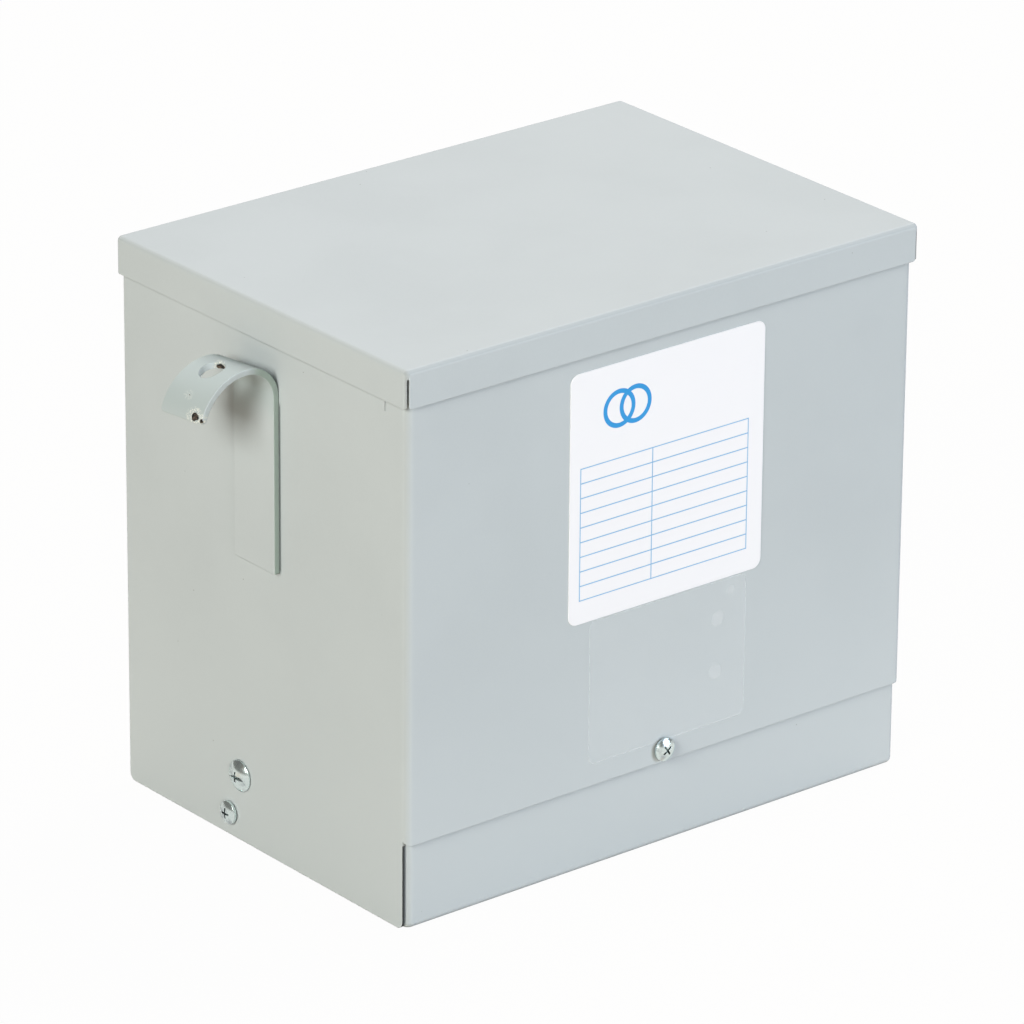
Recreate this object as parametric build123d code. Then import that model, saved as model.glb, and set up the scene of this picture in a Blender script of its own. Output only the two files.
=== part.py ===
from build123d import *
import os

# Enclosure, in millimetres: X along the front, -Y towards the front, Z up, Z = 0 under the base
body_width = 281.6
body_depth = 200.1
overall_height = 259.6
sheet = 1.2                     # thickness of every folded sheet
sheet_clearance = 0.6           # between sheets that slip inside one another
cut_overrun = 2.0               # how far a cutting shape passes the face it opens

# Lid, a folded cap with open corners
lid_skirt_height = 17.3
lid_edge_radius = 2.2           # outside of the bends along the top
lid_corner_radius = 2.4         # outside of the upright corners
lid_slit_width = 0.9            # each corner is open below the bends
lid_slit_below_top = 3.8
lid_slit_angle = 58.0           # round each corner, from the side towards the front or back
lid_flap_radius = 2.2           # lower ends of the skirts beside each slit

# Cover, one sheet folded round the left side, the front and the right side
cover_bend_radius = 3.5
cover_front_height = 40.3       # lower edge of its front above the floor
cover_front_corner_radius = 3.0
cover_foot_gap = 0.5            # between its side walls and the floor
cover_foot_radius = 3.5         # lower corners of its side walls
cover_left_setback = 2.8        # front edges of its side walls beside the base pan's front
cover_right_setback = 7.5
cover_flange_width = 12.0       # turned in along the top of each side wall, under the lid
cover_flange_radius = 3.0
relief_from_front = 14.7        # slit at the front end of that flange
relief_width = 0.5
relief_below_lid = 5.6

# Base pan, a tray whose front and back walls close the foot of the enclosure
pan_left_radius = 4.0           # upright corners
pan_right_radius = 2.6
pan_edge_radius = 2.8
pan_side_gap = 0.15             # between its side walls and the cover
pan_overlap = 14.0              # how far its front wall rises behind the cover
pan_side_height = 20.0
pan_corner_return = 16.0        # tall part of each side wall beside the corners

# Back panel, a flat sheet with its sides folded forward
back_flange_depth = 14.0
back_bend_radius = 3.0

# Lifting hooks, a bent strap on each side wall, its curl bent a little out of square
hook_width = 28.7
hook_y = 2.0
hook_drop = 2.5                 # of the curl from the strap's front edge to its rear edge
hook_thickness = 3.0
hook_strap_length = 81.4        # flat on the wall
hook_below_lid = 5.7            # between the front of its crown and the lid's lower edge
hook_bend_radius = 17.0         # outside, from the wall to the crown
hook_curl_radius = 25.5         # outside, from the crown to the tip
hook_curl_angle = 76.0
hook_tip_radius = 2.0
hook_edge_radius = 0.5          # along both edges of the rolled strap
hook_hole_diameter = 12.0
hook_hole_angle = 18.0          # from the crown towards the tip

# Nameplate and the clear film below it
plate_width = 108.7
plate_height = 116.1
plate_centre_x = 1.6
plate_below_lid = 7.2           # between its upper edge and the lid's lower edge
plate_corner_radius = 4.5
plate_thickness = 0.3
film_width = 88.6
film_under_screw = 1.4          # how far it runs under the edge of the front screw's head
film_centre_x = 3.7
film_corner_radius = 3.0
film_thickness = 0.15
film_plate_gap = 0.6

# Cover screws, on the front, the back and low on each side
cover_screw_head = 10.7
cover_screw_head_height = 3.5
cover_screw_rim = 1.2
cover_screw_seat_height = 0.7   # the underside of the head is relieved round this seat
cover_screw_seat = 7.6
cover_screw_shank = 4.8
cover_screw_length = 11.0
cover_screw_above_edge = 6.4    # front and back screws above the cover's lower edge
cover_screw_x = 1.9
base_screw_height = 11.6
base_screw_y = 24.5
clip_nut_side = 13.0
clip_nut_thickness = 2.0

# Core screws, one through each side wall into the bracket that carries the core
core_screw_head = 14.6
core_screw_head_height = 3.6
core_screw_rim = 0.6
core_screw_seat_height = 0.4
core_screw_seat = 11.5
core_screw_shank = 6.35
core_screw_length = 16.0
core_screw_height = 31.9
core_screw_y = 16.8
core_nut_across_flats = 11.1
core_nut_thickness = 5.5

# Driver recesses in the screw heads
wing_width = 0.9
wing_span = 5.0
wing_depth = 1.5
slot_width = 1.5
slot_depth = 1.1
screw_clearance = 0.3           # between a shank and the hole round it
front_screw_turn = 35.0

# Core brackets and the potted core and coil block that rests on them
bracket_thickness = 3.0
bracket_leg = 25.0
bracket_end_gap = 6.7           # between its ends and the tall corners of the pan
bracket_above_pan = 2.0         # between its leg and the pan's side wall
core_above_pan = 1.0            # between the core's underside and the pan's front wall
core_side_gap = 4.0
core_end_gap = 14.0
core_top_gap = 15.0
core_corner_radius = 6.0

half_width = body_width / 2
half_depth = body_depth / 2
lid_overhang = sheet + sheet_clearance
lid_lower_height = overall_height - lid_skirt_height
lid_underside = overall_height - sheet
wall_top = lid_underside - (lid_edge_radius - sheet)
cover_back = half_depth - (lid_corner_radius - sheet)
pan_inset = sheet + sheet_clearance
pan_side_inset = sheet + pan_side_gap
pan_height = cover_front_height + pan_overlap
relief_foot_height = lid_lower_height - relief_below_lid
hook_bend_height = lid_lower_height - hook_below_lid - hook_bend_radius
hook_foot_height = hook_bend_height - hook_strap_length
plate_foot_height = lid_lower_height - plate_below_lid - plate_height
cover_screw_height = cover_front_height + cover_screw_above_edge
film_foot_height = cover_screw_height + cover_screw_head / 2 - film_under_screw
wall_inside = half_width - sheet
bracket_foot = pan_side_height + bracket_above_pan
bracket_half_length = half_depth - pan_inset - pan_corner_return - bracket_end_gap
core_floor_height = pan_height + core_above_pan


def block(x_span, y_span, z_span):
    spans = (x_span, y_span, z_span)
    sizes = [high - low for low, high in spans]
    middles = [(low + high) / 2 for low, high in spans]
    return Pos(*middles) * Box(*sizes)


def along_depth(profile, y_low, y_high):
    # A profile drawn in X and Z, carried from y_low back to y_high
    return extrude(Plane((0, y_high, 0), x_dir=(1, 0, 0), z_dir=(0, -1, 0)) * profile, y_high - y_low)


def both_sides(solid):
    return solid + mirror(solid, about=Plane.YZ)


def rounded_tray(width, depth, height, left_radius, right_radius, edge_radius):
    # A solid block on Z = 0 with rounded upright corners and rounded lower edges
    plan = Rectangle(width, depth)
    plan = fillet(plan.vertices().sort_by(Axis.X)[:2], left_radius)
    plan = fillet(plan.vertices().sort_by(Axis.X)[-2:], right_radius)
    solid = extrude(plan, height)
    return fillet(solid.faces().sort_by(Axis.Z)[0].edges(), edge_radius)


def channel(width, depth, radius, z_low, z_high):
    # A U of sheet in plan, its web along the front at Y = 0 and its legs running back to Y = depth
    outer = Pos(0, depth / 2) * Rectangle(width, depth)
    outer = fillet(outer.vertices().sort_by(Axis.Y)[:2], radius)
    inner = Pos(0, sheet + depth / 2) * Rectangle(width - 2 * sheet, depth)
    inner = fillet(inner.vertices().sort_by(Axis.Y)[:2], radius - sheet)
    return Pos(0, 0, z_low) * extrude(outer - inner, z_high - z_low)


def shank_hole(diameter, reach):
    return Cylinder(diameter / 2 + screw_clearance, 2 * reach)


def on_front(x_place, height):
    # Seat on the cover's front, its local Z pointing out of the wall
    return Pos(x_place, -half_depth, height) * Rot(90, 0, 0)


def on_back(x_place, height):
    return Pos(x_place, half_depth, height) * Rot(-90, 0, 0)


def on_right(y_place, height):
    return Pos(half_width, y_place, height) * Rot(0, 90, 0)


def on_left(y_place, height):
    return Pos(-half_width, y_place, height) * Rot(0, -90, 0)


core_seats = (on_left(core_screw_y, core_screw_height), on_right(core_screw_y, core_screw_height))
base_seats = (on_left(base_screw_y, base_screw_height), on_right(base_screw_y, base_screw_height))
front_seat = on_front(cover_screw_x, cover_screw_height)
back_seat = on_back(cover_screw_x, cover_screw_height)


def make_lid():
    width = body_width + 2 * lid_overhang
    depth = body_depth + 2 * lid_overhang
    radius = lid_corner_radius
    outer = rounded_tray(width, depth, lid_skirt_height, radius, radius, lid_edge_radius)
    inner = rounded_tray(
        width - 2 * sheet,
        depth - 2 * sheet,
        lid_skirt_height + cut_overrun,
        radius - sheet,
        radius - sheet,
        lid_edge_radius - sheet,
    )
    cap = outer - Pos(0, 0, sheet) * inner
    slit_x = width / 2 - lid_corner_radius
    slit_y = depth / 2 - lid_corner_radius
    slit_length = 2 * (lid_corner_radius + cut_overrun)
    slit_height = lid_skirt_height + cut_overrun - lid_slit_below_top
    slit_middle = lid_slit_below_top + slit_height / 2
    slit = Pos(0, 0, slit_middle) * Box(slit_length, lid_slit_width, slit_height)

    # Below each slit the ends of both skirts are rounded off
    flap_height = lid_skirt_height - lid_flap_radius
    x_span = (-slit_length / 2, slit_length / 2)
    y_span = (-lid_flap_radius, lid_flap_radius)
    notch = block(x_span, y_span, (flap_height, lid_skirt_height + cut_overrun))
    for y_place in y_span:
        notch -= Pos(0, y_place, flap_height) * Rot(0, 90, 0) * Cylinder(lid_flap_radius, 2 * slit_length)
    for side_x in (-1, 1):
        for side_y in (-1, 1):
            corner = Pos(side_x * slit_x, side_y * slit_y, 0) * Rot(0, 0, lid_slit_angle * side_x * side_y)
            cap = cap - corner * slit - corner * notch
    return Pos(0, 0, overall_height) * mirror(cap, about=Plane.XY)


def make_cover():
    cover = channel(body_width, cover_back + half_depth, cover_bend_radius, cover_foot_gap, wall_top)
    cover = Pos(0, -half_depth, 0) * cover
    low = (-cut_overrun, cover_front_height)
    y_front = -half_depth - cut_overrun
    left_edge = -half_depth + cover_left_setback
    right_edge = -half_depth + cover_right_setback
    corner_z = cover_front_height + cover_front_corner_radius
    rounding = Rot(90, 0, 0) * Cylinder(cover_front_corner_radius, 2 * body_depth)
    for side, edge in ((-1, left_edge), (1, right_edge)):
        outside = side * (half_width + cut_overrun)
        cover -= block(sorted((0, outside)), (y_front, edge), low)
        corner_x = side * (half_width - cover_front_corner_radius)
        y_span = (y_front, min(edge, -half_depth + cover_bend_radius))
        z_span = (cover_front_height - cut_overrun, corner_z)
        corner = block(sorted((corner_x, outside)), y_span, z_span)
        cover -= corner - Pos(corner_x, 0, corner_z) * rounding
    foot_span = (cover_foot_gap - sheet, cover_foot_gap + sheet)
    feet = cover.edges().filter_by(Axis.X).filter_by_position(Axis.Z, *foot_span)
    cover = fillet(feet, cover_foot_radius)

    # The flange along the top of each side wall runs between two relief slits
    flange_front = -half_depth + relief_from_front + relief_width
    flange_back = half_depth - back_flange_depth - sheet_clearance - relief_width
    flange_foot = lid_underside - cover_flange_radius - sheet
    x_span = (half_width - 2 * sheet, half_width + cut_overrun)
    top = wall_top + cut_overrun
    relief_y = (flange_front - relief_width, flange_front)
    cover -= both_sides(block(x_span, relief_y, (relief_foot_height, top)))
    cover -= both_sides(block(x_span, (flange_front, flange_back + relief_width), (flange_foot, top)))
    outline = Polygon(
        (half_width, flange_foot),
        (half_width, lid_underside),
        (half_width - cover_flange_width, lid_underside),
        (half_width - cover_flange_width, lid_underside - sheet),
        (half_width - sheet, lid_underside - sheet),
        (half_width - sheet, flange_foot),
        align=None,
    )
    outer_corner = outline.vertices().sort_by_distance((half_width, lid_underside))[0]
    outline = fillet(outer_corner, cover_flange_radius)
    inner_corner = outline.vertices().sort_by_distance((half_width - sheet, lid_underside - sheet))[0]
    outline = fillet(inner_corner, cover_flange_radius - sheet)
    cover += both_sides(along_depth(outline, flange_front, flange_back))

    cover -= front_seat * shank_hole(cover_screw_shank, pan_inset)
    for seat in core_seats:
        cover -= seat * shank_hole(core_screw_shank, pan_inset)
    for seat in base_seats:
        cover -= seat * shank_hole(cover_screw_shank, pan_inset)
    return cover


def make_base_pan():
    width = body_width - 2 * pan_side_inset
    depth = body_depth - 2 * pan_inset
    outer = rounded_tray(width, depth, pan_height, pan_left_radius, pan_right_radius, pan_edge_radius)
    inner = rounded_tray(
        width - 2 * sheet,
        depth - 2 * sheet,
        pan_height + cut_overrun,
        pan_left_radius - sheet,
        pan_right_radius - sheet,
        pan_edge_radius - sheet,
    )
    pan = outer - Pos(0, 0, sheet) * inner
    y_reach = depth / 2 - pan_corner_return
    pan -= block((-width, width), (-y_reach, y_reach), (pan_side_height, pan_height + cut_overrun))
    hole_reach = pan_side_inset + 2 * sheet
    for seat in (front_seat, back_seat) + base_seats:
        pan -= seat * shank_hole(cover_screw_shank, hole_reach)
    return pan


def make_back_panel():
    width = body_width - 2 * pan_inset
    panel = channel(width, back_flange_depth, back_bend_radius, cover_front_height, wall_top)
    panel = Pos(0, half_depth, 0) * mirror(panel, about=Plane.XZ)
    y_inside = half_depth - back_flange_depth - cut_overrun
    behind_pan = (y_inside, half_depth - sheet)
    low = (cover_front_height - cut_overrun, pan_height + sheet_clearance)
    panel -= block((-width, width), behind_pan, low)
    return panel - back_seat * shank_hole(cover_screw_shank, pan_inset)


def make_right_hook():
    bend_centre = (half_width + hook_bend_radius, hook_bend_height)
    curl_centre = (bend_centre[0], hook_bend_height + hook_bend_radius - hook_curl_radius)
    wall_face = half_width
    strap_face = half_width + hook_thickness
    low_height = hook_foot_height - cut_overrun
    outer_bend = CenterArc(bend_centre, hook_bend_radius, 180, -90)
    outer_curl = CenterArc(curl_centre, hook_curl_radius, 90, -hook_curl_angle)
    inner_curl = CenterArc(curl_centre, hook_curl_radius - hook_thickness, 90, -hook_curl_angle)
    inner_bend = CenterArc(bend_centre, hook_bend_radius - hook_thickness, 180, -90)
    outline = make_face([
        Line((wall_face, low_height), (wall_face, hook_bend_height)),
        outer_bend,
        outer_curl,
        Line(outer_curl @ 1, inner_curl @ 1),
        inner_curl,
        inner_bend,
        Line((strap_face, hook_bend_height), (strap_face, low_height)),
        Line((strap_face, low_height), (wall_face, low_height)),
    ])
    hook_front = hook_y - hook_width / 2
    across = Vector(0, hook_width, -hook_drop)
    upright = Plane((0, hook_front, 0), x_dir=(1, 0, 0), z_dir=(0, -1, 0))
    hook = extrude(upright * outline, amount=across.length, dir=across)
    x_span = (wall_face - cut_overrun, strap_face + cut_overrun)
    y_span = (hook_front - cut_overrun, hook_front + hook_width + cut_overrun)
    hook -= block(x_span, y_span, (low_height - hook_drop - cut_overrun, hook_foot_height))
    middle_height = -hook_drop / 2
    tip_middle = ((outer_curl @ 1) + (inner_curl @ 1)) / 2
    tip = hook.faces().sort_by_distance((tip_middle.X, hook_y, tip_middle.Y + middle_height))[0]
    hook = fillet(tip.edges().sort_by(SortBy.LENGTH)[:2], hook_tip_radius)
    rims = hook.faces().filter_by(Axis.Y).edges().filter_by(Axis.X, reverse=True)
    hook = fillet(rims, hook_edge_radius)
    hole = extrude(Circle(hook_hole_diameter / 2), hook_curl_radius + cut_overrun)
    hole_centre = Pos(curl_centre[0], hook_y, curl_centre[1] + middle_height)
    return hook - hole_centre * Rot(0, hook_hole_angle, 0) * hole


def make_front_sheet(width, height, thickness, corner_radius, centre_x, foot_height):
    # A thin rounded sheet stuck on the cover's front
    sheet_solid = extrude(RectangleRounded(width, height, corner_radius), thickness)
    return on_front(centre_x, foot_height + height / 2) * sheet_solid


def make_screw(head, head_height, rim, seat, seat_height, shank, length):
    # A domed head on a narrower seat at Z = 0, with a cross recess, and its shank below
    crown = head_height - seat_height - rim
    dome_radius = ((head / 2) ** 2 + crown ** 2) / (2 * crown)
    dome = Pos(0, 0, head_height - dome_radius) * Sphere(dome_radius)
    screw = Pos(0, 0, seat_height) * extrude(Circle(head / 2), head_height - seat_height) & dome
    screw += extrude(Circle(seat / 2), seat_height)
    screw += extrude(Circle(shank / 2), -length)
    wing = Pos(0, 0, head_height) * Box(wing_span, wing_width, 2 * wing_depth)
    return screw - wing - Rot(0, 0, 90) * wing


def make_core_screw():
    screw = make_screw(
        core_screw_head,
        core_screw_head_height,
        core_screw_rim,
        core_screw_seat,
        core_screw_seat_height,
        core_screw_shank,
        core_screw_length,
    )
    return screw - Pos(0, 0, core_screw_head_height) * Box(slot_width, core_screw_head, 2 * slot_depth)


def make_clip_nut(inset):
    # A square nut against the inside of the base pan's wall, which stands back by the inset
    nut = extrude(Rectangle(clip_nut_side, clip_nut_side), -clip_nut_thickness)
    return Pos(0, 0, -inset - sheet) * nut - shank_hole(cover_screw_shank, cover_screw_length)


def make_core_nut():
    # A hexagon nut against the inside of a core bracket
    hexagon = RegularPolygon(core_nut_across_flats / 2, 6, major_radius=False)
    nut = Pos(0, 0, -sheet - bracket_thickness) * extrude(hexagon, -core_nut_thickness)
    return nut - shank_hole(core_screw_shank, core_screw_length)


def make_right_bracket():
    y_span = (-bracket_half_length, bracket_half_length)
    leg = block((wall_inside - bracket_thickness, wall_inside), y_span, (bracket_foot, core_floor_height))
    x_span = (wall_inside - bracket_leg, wall_inside)
    ledge = block(x_span, y_span, (core_floor_height - bracket_thickness, core_floor_height))
    return leg + ledge - core_seats[1] * shank_hole(core_screw_shank, core_screw_length)


def make_core_block():
    width = 2 * (wall_inside - core_side_gap)
    depth = body_depth - 2 * core_end_gap
    height = lid_underside - core_top_gap - core_floor_height
    core = extrude(RectangleRounded(width, depth, core_corner_radius), height)
    return Pos(0, 0, core_floor_height) * core


right_hook = make_right_hook()
right_bracket = make_right_bracket()
cover_screw = make_screw(
    cover_screw_head,
    cover_screw_head_height,
    cover_screw_rim,
    cover_screw_seat,
    cover_screw_seat_height,
    cover_screw_shank,
    cover_screw_length,
)
core_screw = make_core_screw()
end_clip_nut = make_clip_nut(pan_inset)
side_clip_nut = make_clip_nut(pan_side_inset)
core_nut = make_core_nut()

nodes = {
    "lid": make_lid(),
    "wraparound_cover": make_cover(),
    "base_pan": make_base_pan(),
    "back_panel": make_back_panel(),
    "right_lifting_hook": right_hook,
    "left_lifting_hook": mirror(right_hook, about=Plane.YZ),
    "nameplate": make_front_sheet(
        plate_width,
        plate_height,
        plate_thickness,
        plate_corner_radius,
        plate_centre_x,
        plate_foot_height,
    ),
    "clear_film": make_front_sheet(
        film_width,
        plate_foot_height - film_plate_gap - film_foot_height,
        film_thickness,
        film_corner_radius,
        film_centre_x,
        film_foot_height,
    ),
    "front_cover_screw": front_seat * Rot(0, 0, front_screw_turn) * cover_screw,
    "back_cover_screw": back_seat * cover_screw,
    "left_base_screw": base_seats[0] * cover_screw,
    "right_base_screw": base_seats[1] * cover_screw,
    "left_core_screw": core_seats[0] * core_screw,
    "right_core_screw": core_seats[1] * core_screw,
    "front_clip_nut": front_seat * end_clip_nut,
    "back_clip_nut": back_seat * end_clip_nut,
    "left_clip_nut": base_seats[0] * side_clip_nut,
    "right_clip_nut": base_seats[1] * side_clip_nut,
    "left_core_nut": core_seats[0] * core_nut,
    "right_core_nut": core_seats[1] * core_nut,
    "right_core_bracket": right_bracket,
    "left_core_bracket": mirror(right_bracket, about=Plane.YZ),
    "core_and_coil_block": make_core_block(),
}

os.makedirs("parts", exist_ok=True)
for name, solid in nodes.items():
    export_step(solid, os.path.join("parts", name + ".step"))
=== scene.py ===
import math

import bmesh
import bpy
from mathutils import Matrix, Vector


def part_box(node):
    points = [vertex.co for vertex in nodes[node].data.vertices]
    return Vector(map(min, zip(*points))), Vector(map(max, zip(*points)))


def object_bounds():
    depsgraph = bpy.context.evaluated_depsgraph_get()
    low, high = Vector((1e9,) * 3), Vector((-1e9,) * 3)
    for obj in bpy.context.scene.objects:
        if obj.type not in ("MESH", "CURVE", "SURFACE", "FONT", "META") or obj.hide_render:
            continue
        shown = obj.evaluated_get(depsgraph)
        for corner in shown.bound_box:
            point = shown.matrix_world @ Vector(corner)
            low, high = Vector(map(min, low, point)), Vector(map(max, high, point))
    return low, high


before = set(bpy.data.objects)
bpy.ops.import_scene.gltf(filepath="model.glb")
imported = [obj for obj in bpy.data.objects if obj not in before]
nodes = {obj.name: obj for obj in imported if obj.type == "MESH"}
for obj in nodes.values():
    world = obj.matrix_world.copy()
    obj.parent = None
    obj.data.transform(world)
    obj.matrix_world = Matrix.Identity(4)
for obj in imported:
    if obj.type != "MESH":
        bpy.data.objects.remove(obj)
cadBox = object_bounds()
scene = bpy.context.scene
print("frame loaded:", len(nodes), "nodes")

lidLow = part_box("lid")[0]                      # lower edge of the lid's skirt
coverLow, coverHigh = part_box("wraparound_cover")
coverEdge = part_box("back_panel")[0].z          # the cover's front ends at the same height
hookLow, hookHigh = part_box("right_lifting_hook")
plateLow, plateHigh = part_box("nameplate")
filmLow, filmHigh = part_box("clear_film")
plainWhite = (1, 1, 1, 1)


def shade(*parts):  # a colour from 0 to 255 as the shader wants it
    linear = [((part / 255 + 0.055) / 1.055) ** 2.4 if part > 10 else part / 3295 for part in parts]
    return (*linear, 1)


class Wire:  # a shader socket that stands in sums
    def __init__(self, finish, socket):
        self.finish = finish
        self.socket = socket

    def calc(self, operation, *values):
        return self.finish.add("ShaderNodeMath", {"operation": operation}, dict(enumerate(values)))

    def __add__(self, other):
        return self.calc("ADD", self, other)

    def __sub__(self, other):
        return self.calc("SUBTRACT", self, other)

    def __rsub__(self, other):
        return self.calc("SUBTRACT", other, self)

    def __mul__(self, other):
        return self.calc("MULTIPLY", self, other)

    def __mod__(self, other):
        return self.calc("FLOORED_MODULO", self, other)

    def __or__(self, other):  # the larger of two masks
        return self.calc("MAXIMUM", self, other)

    def __abs__(self):
        return self.calc("ABSOLUTE", self)

    __radd__ = __add__
    __rmul__ = __mul__
    __ror__ = __or__


class Finish:  # the node tree of one material or world
    def __init__(self, owner):
        owner.use_nodes = True
        self.owner = owner
        self.tree = owner.node_tree
        self.tree.nodes.clear()

    def add(self, kind, settings=None, sockets=None, out=0):
        node = self.tree.nodes.new(kind)
        for key, value in (settings or {}).items():
            setattr(node, key, value)
        for key, value in (sockets or {}).items():
            if isinstance(value, Wire):
                self.tree.links.new(value.socket, node.inputs[key])
            else:
                node.inputs[key].default_value = value
        return Wire(self, node.outputs[out]) if node.outputs else None

    def others(self, wire):  # every output of the node behind a wire
        return [Wire(self, socket) for socket in wire.socket.node.outputs]

    def place(self):  # position in the frame, in metres
        return self.add("ShaderNodeTexCoord", out=3)

    def facing(self):  # the surface normal's three parts
        return self.axes(self.add("ShaderNodeNewGeometry", out=1))

    def axes(self, vector):
        return self.others(self.add("ShaderNodeSeparateXYZ", {}, {0: vector}))

    def point(self, x, y, z):
        return self.add("ShaderNodeCombineXYZ", {}, {0: x, 1: y, 2: z})

    def noise(self, vector, scale, detail=3.0, out=0):
        return self.add("ShaderNodeTexNoise", {}, {"Vector": vector, "Scale": scale, "Detail": detail}, out)

    def away(self, vector, spot):  # distance from a spot
        return self.add("ShaderNodeVectorMath", {"operation": "DISTANCE"}, {0: vector, 1: spot}, out=1)

    def sway(self, vector, scale, reach):  # the same place, pushed about by noise
        push = self.noise(vector, scale, detail=2.0, out=1)
        centred = self.add("ShaderNodeVectorMath", {"operation": "SUBTRACT"}, {0: push, 1: (0.5, 0.5, 0.5)})
        moved = self.add("ShaderNodeVectorMath", {"operation": "SCALE"}, {0: centred, "Scale": reach})
        return self.add("ShaderNodeVectorMath", {"operation": "ADD"}, {0: vector, 1: moved})

    def level(self, value, low, high):  # 0 below low, 1 above high, smooth between
        values = {0: value, 1: low, 2: high, 3: 0.0, 4: 1.0}
        return self.add("ShaderNodeMapRange", {"interpolation_type": "SMOOTHSTEP"}, values)

    def within(self, value, low, high, soft):  # 1 from low to high
        return self.level(value, low - soft, low + soft) * (1 - self.level(value, high - soft, high + soft))

    def blend(self, share, first, second):
        return self.add("ShaderNodeMix", {"data_type": "RGBA"}, {0: share, 6: first, 7: second}, out=2)

    def rounded(self, radius, samples=6):  # a normal that softens the sheet's cut edges
        return self.add("ShaderNodeBevel", {"samples": samples}, {"Radius": radius})

    def bump(self, height, strength, distance, normal):
        sockets = {"Strength": strength, "Distance": distance, "Height": height, "Normal": normal}
        return self.add("ShaderNodeBump", {}, sockets)

    def seen(self, cameraShare, glossShare):  # how white the background is to the camera and in metal
        glossy = self.add("ShaderNodeLightPath", out="Is Glossy Ray") * glossShare
        return self.add("ShaderNodeLightPath", out="Is Camera Ray") * cameraShare | glossy

    def surface(self, sockets):
        shader = self.add("ShaderNodeBsdfPrincipled", {}, sockets)
        self.add("ShaderNodeOutputMaterial", {}, {0: shader})
        return self.owner


def newFinish(name):
    return Finish(bpy.data.materials.new(name))


paintSpec = {
    "colour": shade(192, 199, 201),
    "cloudColour": shade(189, 196, 198),
    "cloudScale": 16.0,          # per metre
    "cloudRange": (0.35, 0.7),
    "footLightColour": shade(199, 206, 208),
    "footLightReach": 0.15,           # height up to which the paint is painted paler, as painted light from the floor
    "grainColour": shade(197, 204, 206),
    "grainScale": 900.0,
    "grainShare": 0.35,
    "bendShadeColour": shade(140, 146, 148),
    "bendRange": (0.85, 1.0),    # how square to an axis a flat face is
    "bendShadeShare": 0.14,           # painted shade over the bends, which render too bright otherwise
    "endBendRange": (0.0, 0.4),
    "endBendShadeShare": 0.0,         # and more painted shade over those along the front and back
    "nibColour": shade(150, 156, 155),
    "nibScale": 60.0,            # one cell holds at most one dust nib
    "nibSize": 0.012,            # share of a cell
    # painted shade for the seams below overhanging edges and beside the hook straps
    "seamShadeColour": shade(70, 78, 80),
    "seamShadeShare": 0.08,
    "seamDepth": 0.0022,         # below the edge that hides the seam
    "seamSoft": 0.0006,
    "strapShadeShare": 0.7,           # painted contact shadow beside a hook's strap
    "strapLine": 0.0008,
    "strapUnder": 0.0004,        # how far the line runs under the strap
    "strapSoft": 0.0002,
    "strapTop": 0.02,            # below the crown, where the strap leaves the wall
    "strapFade": 0.002,
    "wallDepth": 0.001,
    "cutEdgeShadeColour": shade(62, 64, 64),
    "cutFacing": (0.5, 0.8),
    "cutClear": (0.0003, 0.0001),   # below the cover's front edge
    "roughness": 0.6,
    "roughnessScale": 120.0,
    "roughnessSpread": 0.1,
    "gloss": 0.1,
    "peelScale": 420.0,
    "peelStrength": 0.3,
    "peelHeight": 0.00003,
    "edgeRadius": 0.0005,
}

lidSpec = dict(paintSpec, bendShadeShare=0.08, endBendShadeShare=0.32)
panSpec = dict(paintSpec, bendShadeShare=0.2, seamShadeShare=0.03)
hookSpec = dict(
    paintSpec,
    bendShadeShare=0.0,
    # painted shade over the curl, and a painted highlight on its edge faces
    curlShadeColour=shade(180, 191, 192),
    curlRimLightColour=shade(206, 217, 224),
    curlBand=(0.0324, 0.0144),         # below the crown, where the curl's painted shade comes in
    rimColour=shade(158, 173, 167),    # darker on the strap's edge faces near the wall
    rimFacing=(0.55, 0.85),
    rimTurn=0.009,                     # from the wall, where the rims begin to turn to the painted highlight
)

chipSpec = {
    # out from the wall, back, down from the crown, bare spot, pale ring, the ring's strength
    "spots": (
        (0.0410, 0.0049, 0.0171, 0.0018, 0.0040, 0.8),
        (0.0409, 0.0001, 0.0178, 0.0008, 0.0019, 0.8),
        # this chip's pale ring at the hole's lip is a painted glint; the other rings are chipped paint
        # edges
        (0.0187, 0.0157, 0.0036, 0.0018, 0.0032, 0.9),
        (0.0371, 0.0140, 0.0113, 0.0004, 0.0024, 0.25),
    ),
    "spotBlur": (0.85, 1.05),    # shares of a spot's size
    "ringBlur": (0.7, 1.1),
    "stretch": 0.65,             # the chips run along the strap's edge
    "swayScale": 420.0,
    "swayReach": 0.0026,
    "chipEdgeAndGlintColour": shade(242, 242, 234),
    "speckleScale": 1500.0,      # the ring breaks up into specks
    "speckleRange": (0.44, 0.62),
    "steelColour": shade(38, 38, 38),
    "rustColour": shade(112, 98, 86),
    "rustScale": 700.0,
    "rustRange": (0.4, 0.7),
    "bareRoughness": 0.6,
}


def shadeAndLightHook(finish, place, colour, spec):
    x, y, z = finish.axes(place)
    curlLow, curlHigh = spec["curlBand"]
    curl = finish.level(z, hookHigh.z - curlLow, hookHigh.z - curlHigh)
    outer = finish.level(abs(x), hookLow.x + spec["rimTurn"], hookLow.x + 2 * spec["rimTurn"])
    rims = finish.level(abs(finish.facing()[1]), *spec["rimFacing"])
    # the rims away from the wall carry a painted highlight
    rimColour = finish.blend(outer, spec["rimColour"], spec["curlRimLightColour"])
    return finish.blend(rims, finish.blend(curl, colour, spec["curlShadeColour"]), rimColour)


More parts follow.
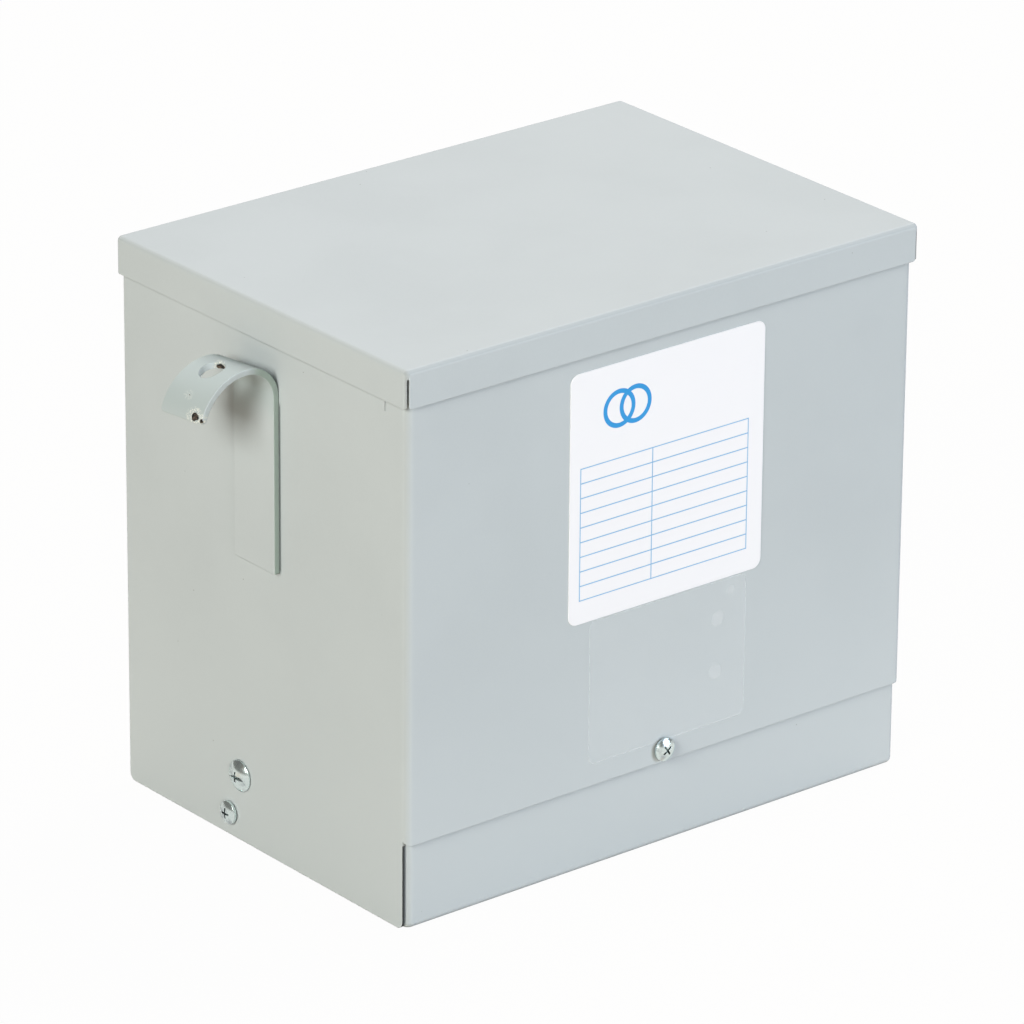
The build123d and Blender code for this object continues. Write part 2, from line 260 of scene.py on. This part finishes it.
def addChips(finish, place, colour, spec):
    x, y, z = finish.axes(place)
    both = finish.point(abs(x), y * spec["stretch"], z)      # the same chips on both hooks
    ragged = finish.sway(both, spec["swayScale"], spec["swayReach"])
    rust = finish.level(finish.noise(place, spec["rustScale"]), *spec["rustRange"])
    bareColour = finish.blend(rust, spec["steelColour"], spec["rustColour"])
    spotInner, spotOuter = spec["spotBlur"]
    ringInner, ringOuter = spec["ringBlur"]
    bare, ring = 0.0, 0.0
    for outward, back, down, spotSize, ringSize, strength in spec["spots"]:
        middle = (hookLow.x + outward, (hookLow.y + back) * spec["stretch"], hookHigh.z - down)
        distance = finish.away(ragged, middle)
        bare = (1 - finish.level(distance, spotSize * spotInner, spotSize * spotOuter)) | bare
        ring = (1 - finish.level(distance, ringSize * ringInner, ringSize * ringOuter)) * strength | ring
    speckle = finish.level(finish.noise(place, spec["speckleScale"]), *spec["speckleRange"])
    # pale rings: chipped paint edges, and a painted glint at the hole
    colour = finish.blend(ring * speckle, colour, spec["chipEdgeAndGlintColour"])
    return finish.blend(bare, colour, bareColour), bare


def addStrapShadow(finish, place, colour, spec):
    x, y, z = finish.axes(place)
    lineLow, lineHigh = hookLow.y - spec["strapLine"], hookLow.y + spec["strapUnder"]
    beside = finish.within(y, lineLow, lineHigh, spec["strapSoft"])
    beside = beside * finish.within(z, hookLow.z, hookHigh.z - spec["strapTop"], spec["strapFade"])
    wall = finish.level(abs(x), coverHigh.x - spec["wallDepth"], coverHigh.x - spec["wallDepth"] / 2)
    # painted contact shadow on the wall beside the strap's front edge
    return finish.blend(beside * wall * spec["strapShadeShare"], colour, spec["seamShadeColour"])


def paintFinish(name, spec, seamHeight=None, cutBelow=None, chips=None):
    finish = newFinish(name)
    place = finish.place()
    cloud = finish.level(finish.noise(place, spec["cloudScale"]), *spec["cloudRange"])
    grain = finish.noise(place, spec["grainScale"], detail=1.0)
    height = finish.axes(place)[2]
    colour = finish.blend(cloud, spec["colour"], spec["cloudColour"])
    colour = finish.blend(grain * spec["grainShare"], colour, spec["grainColour"])
    # painted light: paler towards the floor
    colour = finish.blend(1 - finish.level(height, 0.0, spec["footLightReach"]), colour, spec["footLightColour"])
    normalX, normalY, normalZ = finish.facing()
    # painted shade over the bends, where a face turns between the axes
    bend = 1 - finish.level(abs(normalX) | abs(normalY) | abs(normalZ), *spec["bendRange"])
    bendShadeStrength = spec["bendShadeShare"] + finish.level(abs(normalY), *spec["endBendRange"]) * spec["endBendShadeShare"]
    colour = finish.blend(bend * bendShadeStrength, colour, spec["bendShadeColour"])
    cell = finish.add("ShaderNodeTexVoronoi", {}, {"Vector": place, "Scale": spec["nibScale"]})
    nib = 1 - finish.level(cell, spec["nibSize"], spec["nibSize"] * 2)
    colour = finish.blend(nib, colour, spec["nibColour"])
    roughness = spec["roughness"] + finish.noise(place, spec["roughnessScale"]) * spec["roughnessSpread"]
    if seamHeight:
        # painted shade: a dark band just below the edge that overhangs this sheet
        low = seamHeight - spec["seamDepth"]
        seam = finish.level(height, low, low + spec["seamSoft"])
        colour = finish.blend(seam * spec["seamShadeShare"], colour, spec["seamShadeColour"])
    if cutBelow:                                   # painted shade of the gaps at the side walls' front edges
        clearLow, clearHigh = spec["cutClear"]
        below = 1 - finish.level(height, cutBelow - clearLow, cutBelow - clearHigh)
        cut = finish.level(normalY * -1, *spec["cutFacing"]) * below
        colour = finish.blend(cut, colour, spec["cutEdgeShadeColour"])
        # painted contact shadow beside the hook straps
        colour = addStrapShadow(finish, place, colour, spec)
    if chips:
        colour = shadeAndLightHook(finish, place, colour, spec)
        colour, bare = addChips(finish, place, colour, chips)
        roughness = roughness + bare * (chips["bareRoughness"] - spec["roughness"])
    peel = finish.noise(place, spec["peelScale"], detail=1.0)
    edges = finish.rounded(spec["edgeRadius"])
    return finish.surface({
        "Base Color": colour,
        "Roughness": roughness,
        "Specular IOR Level": spec["gloss"],
        "Normal": finish.bump(peel, spec["peelStrength"], spec["peelHeight"], edges),
    })


zincSpec = {
    "colour": shade(228, 241, 240),
    "stainColour": shade(176, 184, 188),
    "stainScale": 260.0,
    "stainRange": (0.45, 0.75),
    "tintColour": shade(228, 204, 176),
    "tintScale": 156.0,
    "tintRange": (0.58, 0.75),
    "tintShare": 0.5,
    "hollowShadeColour": shade(66, 80, 84),
    "hollowReach": 0.0016,       # how near a wall makes a hollow
    "hollowRange": (0.1, 0.7),
    "hollowSamples": 12,
    "roughness": 0.2,
    "roughnessSpread": 0.18,
    "grainScale": 1400.0,
    "grainStrength": 0.25,
    "grainHeight": 0.00002,
    "edgeRadius": 0.0003,
}


def zincFinish(name, spec):
    finish = newFinish(name)
    place = finish.place()
    stain = finish.level(finish.noise(place, spec["stainScale"]), *spec["stainRange"])
    tint = finish.level(finish.noise(place, spec["tintScale"]), *spec["tintRange"])
    colour = finish.blend(stain, spec["colour"], spec["stainColour"])
    colour = finish.blend(tint * spec["tintShare"], colour, spec["tintColour"])
    samples = {"samples": spec["hollowSamples"]}
    # painted shade in the screws' recesses and where the heads meet the wall
    light = finish.add("ShaderNodeAmbientOcclusion", samples, {"Distance": spec["hollowReach"]}, out="AO")
    colour = finish.blend(1 - finish.level(light, *spec["hollowRange"]), colour, spec["hollowShadeColour"])
    roughness = spec["roughness"] + stain * spec["roughnessSpread"]
    grain = finish.noise(place, spec["grainScale"])
    edges = finish.rounded(spec["edgeRadius"])
    normal = finish.bump(grain, spec["grainStrength"], spec["grainHeight"], edges)
    return finish.surface({"Base Color": colour, "Metallic": 1.0, "Roughness": roughness, "Normal": normal})


plateSpec = {
    "colour": shade(245, 245, 247),
    "cloudColour": shade(243, 243, 246),
    "cloudScale": 30.0,
    "inkColour": shade(28, 150, 218),
    "ruleColour": shade(120, 178, 222),
    "roughness": 0.34,
    "ringRadius": 0.0078,        # two linked rings stand for a pair of windings
    "ringStroke": 0.0022,
    "ringPlaces": ((0.027, 0.021), (0.036, 0.021)),   # from the plate's left and upper edges
    "tableLeft": 0.006,
    "tableRight": 0.1,
    "tableTop": 0.044,
    "tableBottom": 0.1052,
    "tableStep": 0.0068,
    "dividers": (0.006, 0.046, 0.1),
    "ruleWidth": 0.0005,
    "softEdge": 0.00012,
    "waveScale": 90.0,
    "waveStrength": 0.2,
    "waveHeight": 0.0001,
    "edgeRadius": 0.0002,
}


def plateFinish(name, spec):
    finish = newFinish(name)
    place = finish.place()
    x, y, z = finish.axes(place)
    across = x - plateLow.x
    down = plateHigh.z - z
    soft = spec["softEdge"]
    stroke = spec["ringStroke"] / 2
    rings = 0.0
    for ringAcross, ringDown in spec["ringPlaces"]:
        spot = (plateLow.x + ringAcross, 0, plateHigh.z - ringDown)
        distance = finish.away(finish.point(x, 0, z), spot)
        offRing = abs(distance - spec["ringRadius"])
        rings = (1 - finish.level(offRing, stroke - soft, stroke + soft)) | rings
    half = spec["ruleWidth"] / 2
    rows = (down - spec["tableTop"] + half) % spec["tableStep"]
    tall = finish.within(down, spec["tableTop"] - half, spec["tableBottom"] + half, soft)
    inside = finish.within(across, spec["tableLeft"], spec["tableRight"], soft) * tall
    rules = inside * (1 - finish.level(rows, 2 * half - soft, 2 * half + soft))
    columns = 0.0
    for divider in spec["dividers"]:
        columns = (1 - finish.level(abs(across - divider), half - soft, half + soft)) | columns
    rules = columns * tall | rules
    colour = finish.blend(finish.noise(place, spec["cloudScale"]), spec["colour"], spec["cloudColour"])
    colour = finish.blend(rules, colour, spec["ruleColour"])
    colour = finish.blend(rings, colour, spec["inkColour"])
    wave = finish.noise(place, spec["waveScale"])
    edges = finish.rounded(spec["edgeRadius"])
    normal = finish.bump(wave, spec["waveStrength"], spec["waveHeight"], edges)
    return finish.surface({"Base Color": colour, "Roughness": spec["roughness"], "Normal": normal})


filmSpec = {
    "drawnIn": 0.00006,          # metres
    "colour": shade(224, 230, 232),
    "alpha": 0.05,
    "edgeAlpha": 0.25,
    "edgeWidth": 0.0004,
    "outerFace": (0.4, 0.6),     # how far a face must look out to show
    "bubbles": ((0.0727, 0.0178, 0.0045), (0.0717, 0.043, 0.0045), (0.08, 0.006, 0.003)),
    "bubbleCore": 0.6,           # share of a bubble's radius
    "bubbleColour": shade(238, 241, 242),
    "bubbleAlpha": 0.05,
    "roughness": 0.24,
    "roughnessSpread": 0.15,
}


def filmFinish(name, spec):
    finish = newFinish(name)
    place = finish.place()
    x, y, z = finish.axes(place)
    middle = (filmLow + filmHigh) / 2
    half = (filmHigh - filmLow) / 2
    sides = abs(x - middle.x) - (half.x - spec["edgeWidth"])
    ends = abs(z - middle.z) - (half.z - spec["edgeWidth"])
    edge = finish.level(sides | ends, 0.0, spec["edgeWidth"])
    bubble = 0.0
    for across, down, radius in spec["bubbles"]:   # from the film's left and upper edges
        distance = finish.away(place, (filmLow.x + across, filmLow.y, filmHigh.z - down))
        bubble = (1 - finish.level(distance, radius * spec["bubbleCore"], radius)) | bubble
    colour = finish.blend(bubble, spec["colour"], spec["bubbleColour"])
    front = finish.level(finish.facing()[1] * -1, *spec["outerFace"])
    clear = spec["alpha"] + edge * spec["edgeAlpha"] + bubble * spec["bubbleAlpha"]
    roughness = spec["roughness"] + bubble * spec["roughnessSpread"]
    return finish.surface({"Base Color": colour, "Roughness": roughness, "Alpha": clear * front})


pottingSpec = {
    "colour": shade(46, 44, 42),
    "sandColour": shade(96, 88, 76),
    "sandRange": (0.45, 0.65),
    "grainScale": 800.0,
    "grainStrength": 0.4,
    "grainHeight": 0.0003,
    "roughness": 0.8,
    "edgeRadius": 0.0005,
}


def pottingFinish(name, spec):
    finish = newFinish(name)
    sand = finish.level(finish.noise(finish.place(), spec["grainScale"]), *spec["sandRange"])
    colour = finish.blend(sand, spec["colour"], spec["sandColour"])
    edges = finish.rounded(spec["edgeRadius"])
    normal = finish.bump(sand, spec["grainStrength"], spec["grainHeight"], edges)
    return finish.surface({"Base Color": colour, "Roughness": spec["roughness"], "Normal": normal})


steelSpec = dict(zincSpec, colour=shade(150, 152, 154), stainColour=shade(104, 104, 104), roughness=0.4)


def dress(names, material):
    for name in names:
        slots = nodes[name].data.materials
        slots.clear()
        slots.append(material)


dress(["lid"], paintFinish("lidPaint", lidSpec))
dress(["wraparound_cover"], paintFinish("coverPaint", paintSpec, lidLow.z, coverEdge))
dress(["back_panel"], paintFinish("backPaint", paintSpec, lidLow.z))
dress(["base_pan"], paintFinish("panPaint", panSpec, coverEdge))
dress(["left_lifting_hook", "right_lifting_hook"], paintFinish("hookPaint", hookSpec, chips=chipSpec))
dress([name for name in nodes if name.endswith(("_screw", "_nut"))], zincFinish("zincPlate", zincSpec))
dress([name for name in nodes if name.endswith("_bracket")], zincFinish("bracketSteel", steelSpec))
dress(["nameplate"], plateFinish("plateFace", plateSpec))
dress(["clear_film"], filmFinish("clearFilm", filmSpec))
drawnIn = nodes["clear_film"].modifiers.new("drawnIn", "DISPLACE")   # so it shares no face with the cover
drawnIn.strength = -filmSpec["drawnIn"]
drawnIn.mid_level = 0.0
dress(["core_and_coil_block"], pottingFinish("potting", pottingSpec))
print("finishes dressed")

cameraSpec = {
    "azimuth": -39.1945,
    "elevation": 22.8832,
    "roll": 0.448,
    "corner": (coverLow.x, coverLow.y, 0.0012),
    "right": 0.04532,            # of the picture's centre from that corner of the cover
    "up": 0.17934,
    "distance": 3.17657,
    "lens": 260.88,
    "sensor": 36.0,
    "clipEnd": 100.0,
}


def makeCamera(spec):
    turn, rise, roll = (math.radians(spec[key]) for key in ("azimuth", "elevation", "roll"))
    back = Vector((math.sin(turn) * math.cos(rise), -math.cos(turn) * math.cos(rise), math.sin(rise)))
    level = Vector((0, 0, 1)).cross(back).normalized()
    upright = back.cross(level)
    right = math.cos(roll) * level + math.sin(roll) * upright
    up = math.cos(roll) * upright - math.sin(roll) * level
    camera = bpy.data.objects.new("camera", bpy.data.cameras.new("camera"))
    camera.data.lens = spec["lens"]
    camera.data.sensor_width = spec["sensor"]
    camera.data.clip_end = spec["clipEnd"]
    camera.matrix_world = Matrix((right, up, back)).transposed().to_4x4()
    shift = spec["right"] * right + spec["up"] * up + spec["distance"] * back
    camera.location = Vector(spec["corner"]) + shift
    scene.collection.objects.link(camera)
    scene.camera = camera


makeCamera(cameraSpec)

lightSpec = {
    "world": 0.1,
    "worldColour": (1.0, 0.93, 0.8, 1),
    "whiteShare": 1.0,
    "glossShare": 0.1,           # of the white background that shows in metal
    "distance": 5.0,
    "lamps": {
        "left": {"towards": (-0.83, -0.3, 0.43), "size": 1.85, "watts": 192.0, "colour": (1.0, 1.0, 0.95)},
        "front": {"towards": (0.55, -0.8, 0.2), "size": 2.2, "watts": 148.0, "colour": (0.732, 0.835, 1.0)},
        "top": {"towards": (0.5, 0.1, 0.85), "size": 2.0, "watts": 188.0, "colour": (1.0, 0.96, 0.957)},
        "fill": {"towards": (-0.4, -0.9, 0.2), "size": 2.2, "watts": 27.0, "colour": (1.0, 1.0, 0.95)},
        "back": {"towards": (0.15, 0.95, 0.2), "size": 2.2, "watts": 105.0, "colour": (1.0, 0.98, 0.96)},
    },
}


def makeLights(spec):
    aim = (cadBox[0] + cadBox[1]) / 2
    for name, part in spec["lamps"].items():
        lamp = bpy.data.lights.new(name, "AREA")
        lamp.size = part["size"]
        lamp.energy = part["watts"]
        lamp.color = part["colour"]
        holder = bpy.data.objects.new(name, lamp)
        towards = Vector(part["towards"]).normalized()
        holder.location = aim + towards * spec["distance"]
        holder.rotation_euler = towards.to_track_quat("Z", "Y").to_euler()
        holder.visible_camera = False
        scene.collection.objects.link(holder)
    scene.world = bpy.data.worlds.new("studio")
    finish = Finish(scene.world)
    soft = finish.add("ShaderNodeBackground", {}, {0: spec["worldColour"], 1: spec["world"]})
    white = finish.add("ShaderNodeBackground", {}, {0: plainWhite, 1: 1.0})
    seen = finish.seen(spec["whiteShare"], spec["glossShare"])
    mixed = finish.add("ShaderNodeMixShader", {}, {0: seen, 1: soft, 2: white})
    finish.add("ShaderNodeOutputWorld", {}, {0: mixed})


makeLights(lightSpec)

floorSpec = {
    "reach": 20.0,
    "gap": 0.0002,               # below the base pan
    "colour": (0.5, 0.45, 0.38, 1),
    "whiteShare": 0.975,         # the rest keeps the shadow
    "glossShare": 0.6,
}


def makeFloor(spec):
    mesh = bpy.data.meshes.new("floor")
    shape = bmesh.new()
    bmesh.ops.create_grid(shape, x_segments=1, y_segments=1, size=spec["reach"])
    shape.to_mesh(mesh)
    shape.free()
    floor = bpy.data.objects.new("floor", mesh)
    floor.location.z = cadBox[0].z - spec["gap"]
    scene.collection.objects.link(floor)
    finish = newFinish("floor")
    pale = finish.add("ShaderNodeBsdfDiffuse", {}, {0: spec["colour"]})
    white = finish.add("ShaderNodeEmission", {}, {0: plainWhite, 1: 1.0})
    seen = finish.seen(spec["whiteShare"], spec["glossShare"])
    mixed = finish.add("ShaderNodeMixShader", {}, {0: seen, 1: pale, 2: white})
    finish.add("ShaderNodeOutputMaterial", {}, {0: mixed})
    mesh.materials.append(finish.owner)


makeFloor(floorSpec)
scene.view_settings.view_transform = "Standard"
print("camera, lights and floor set")
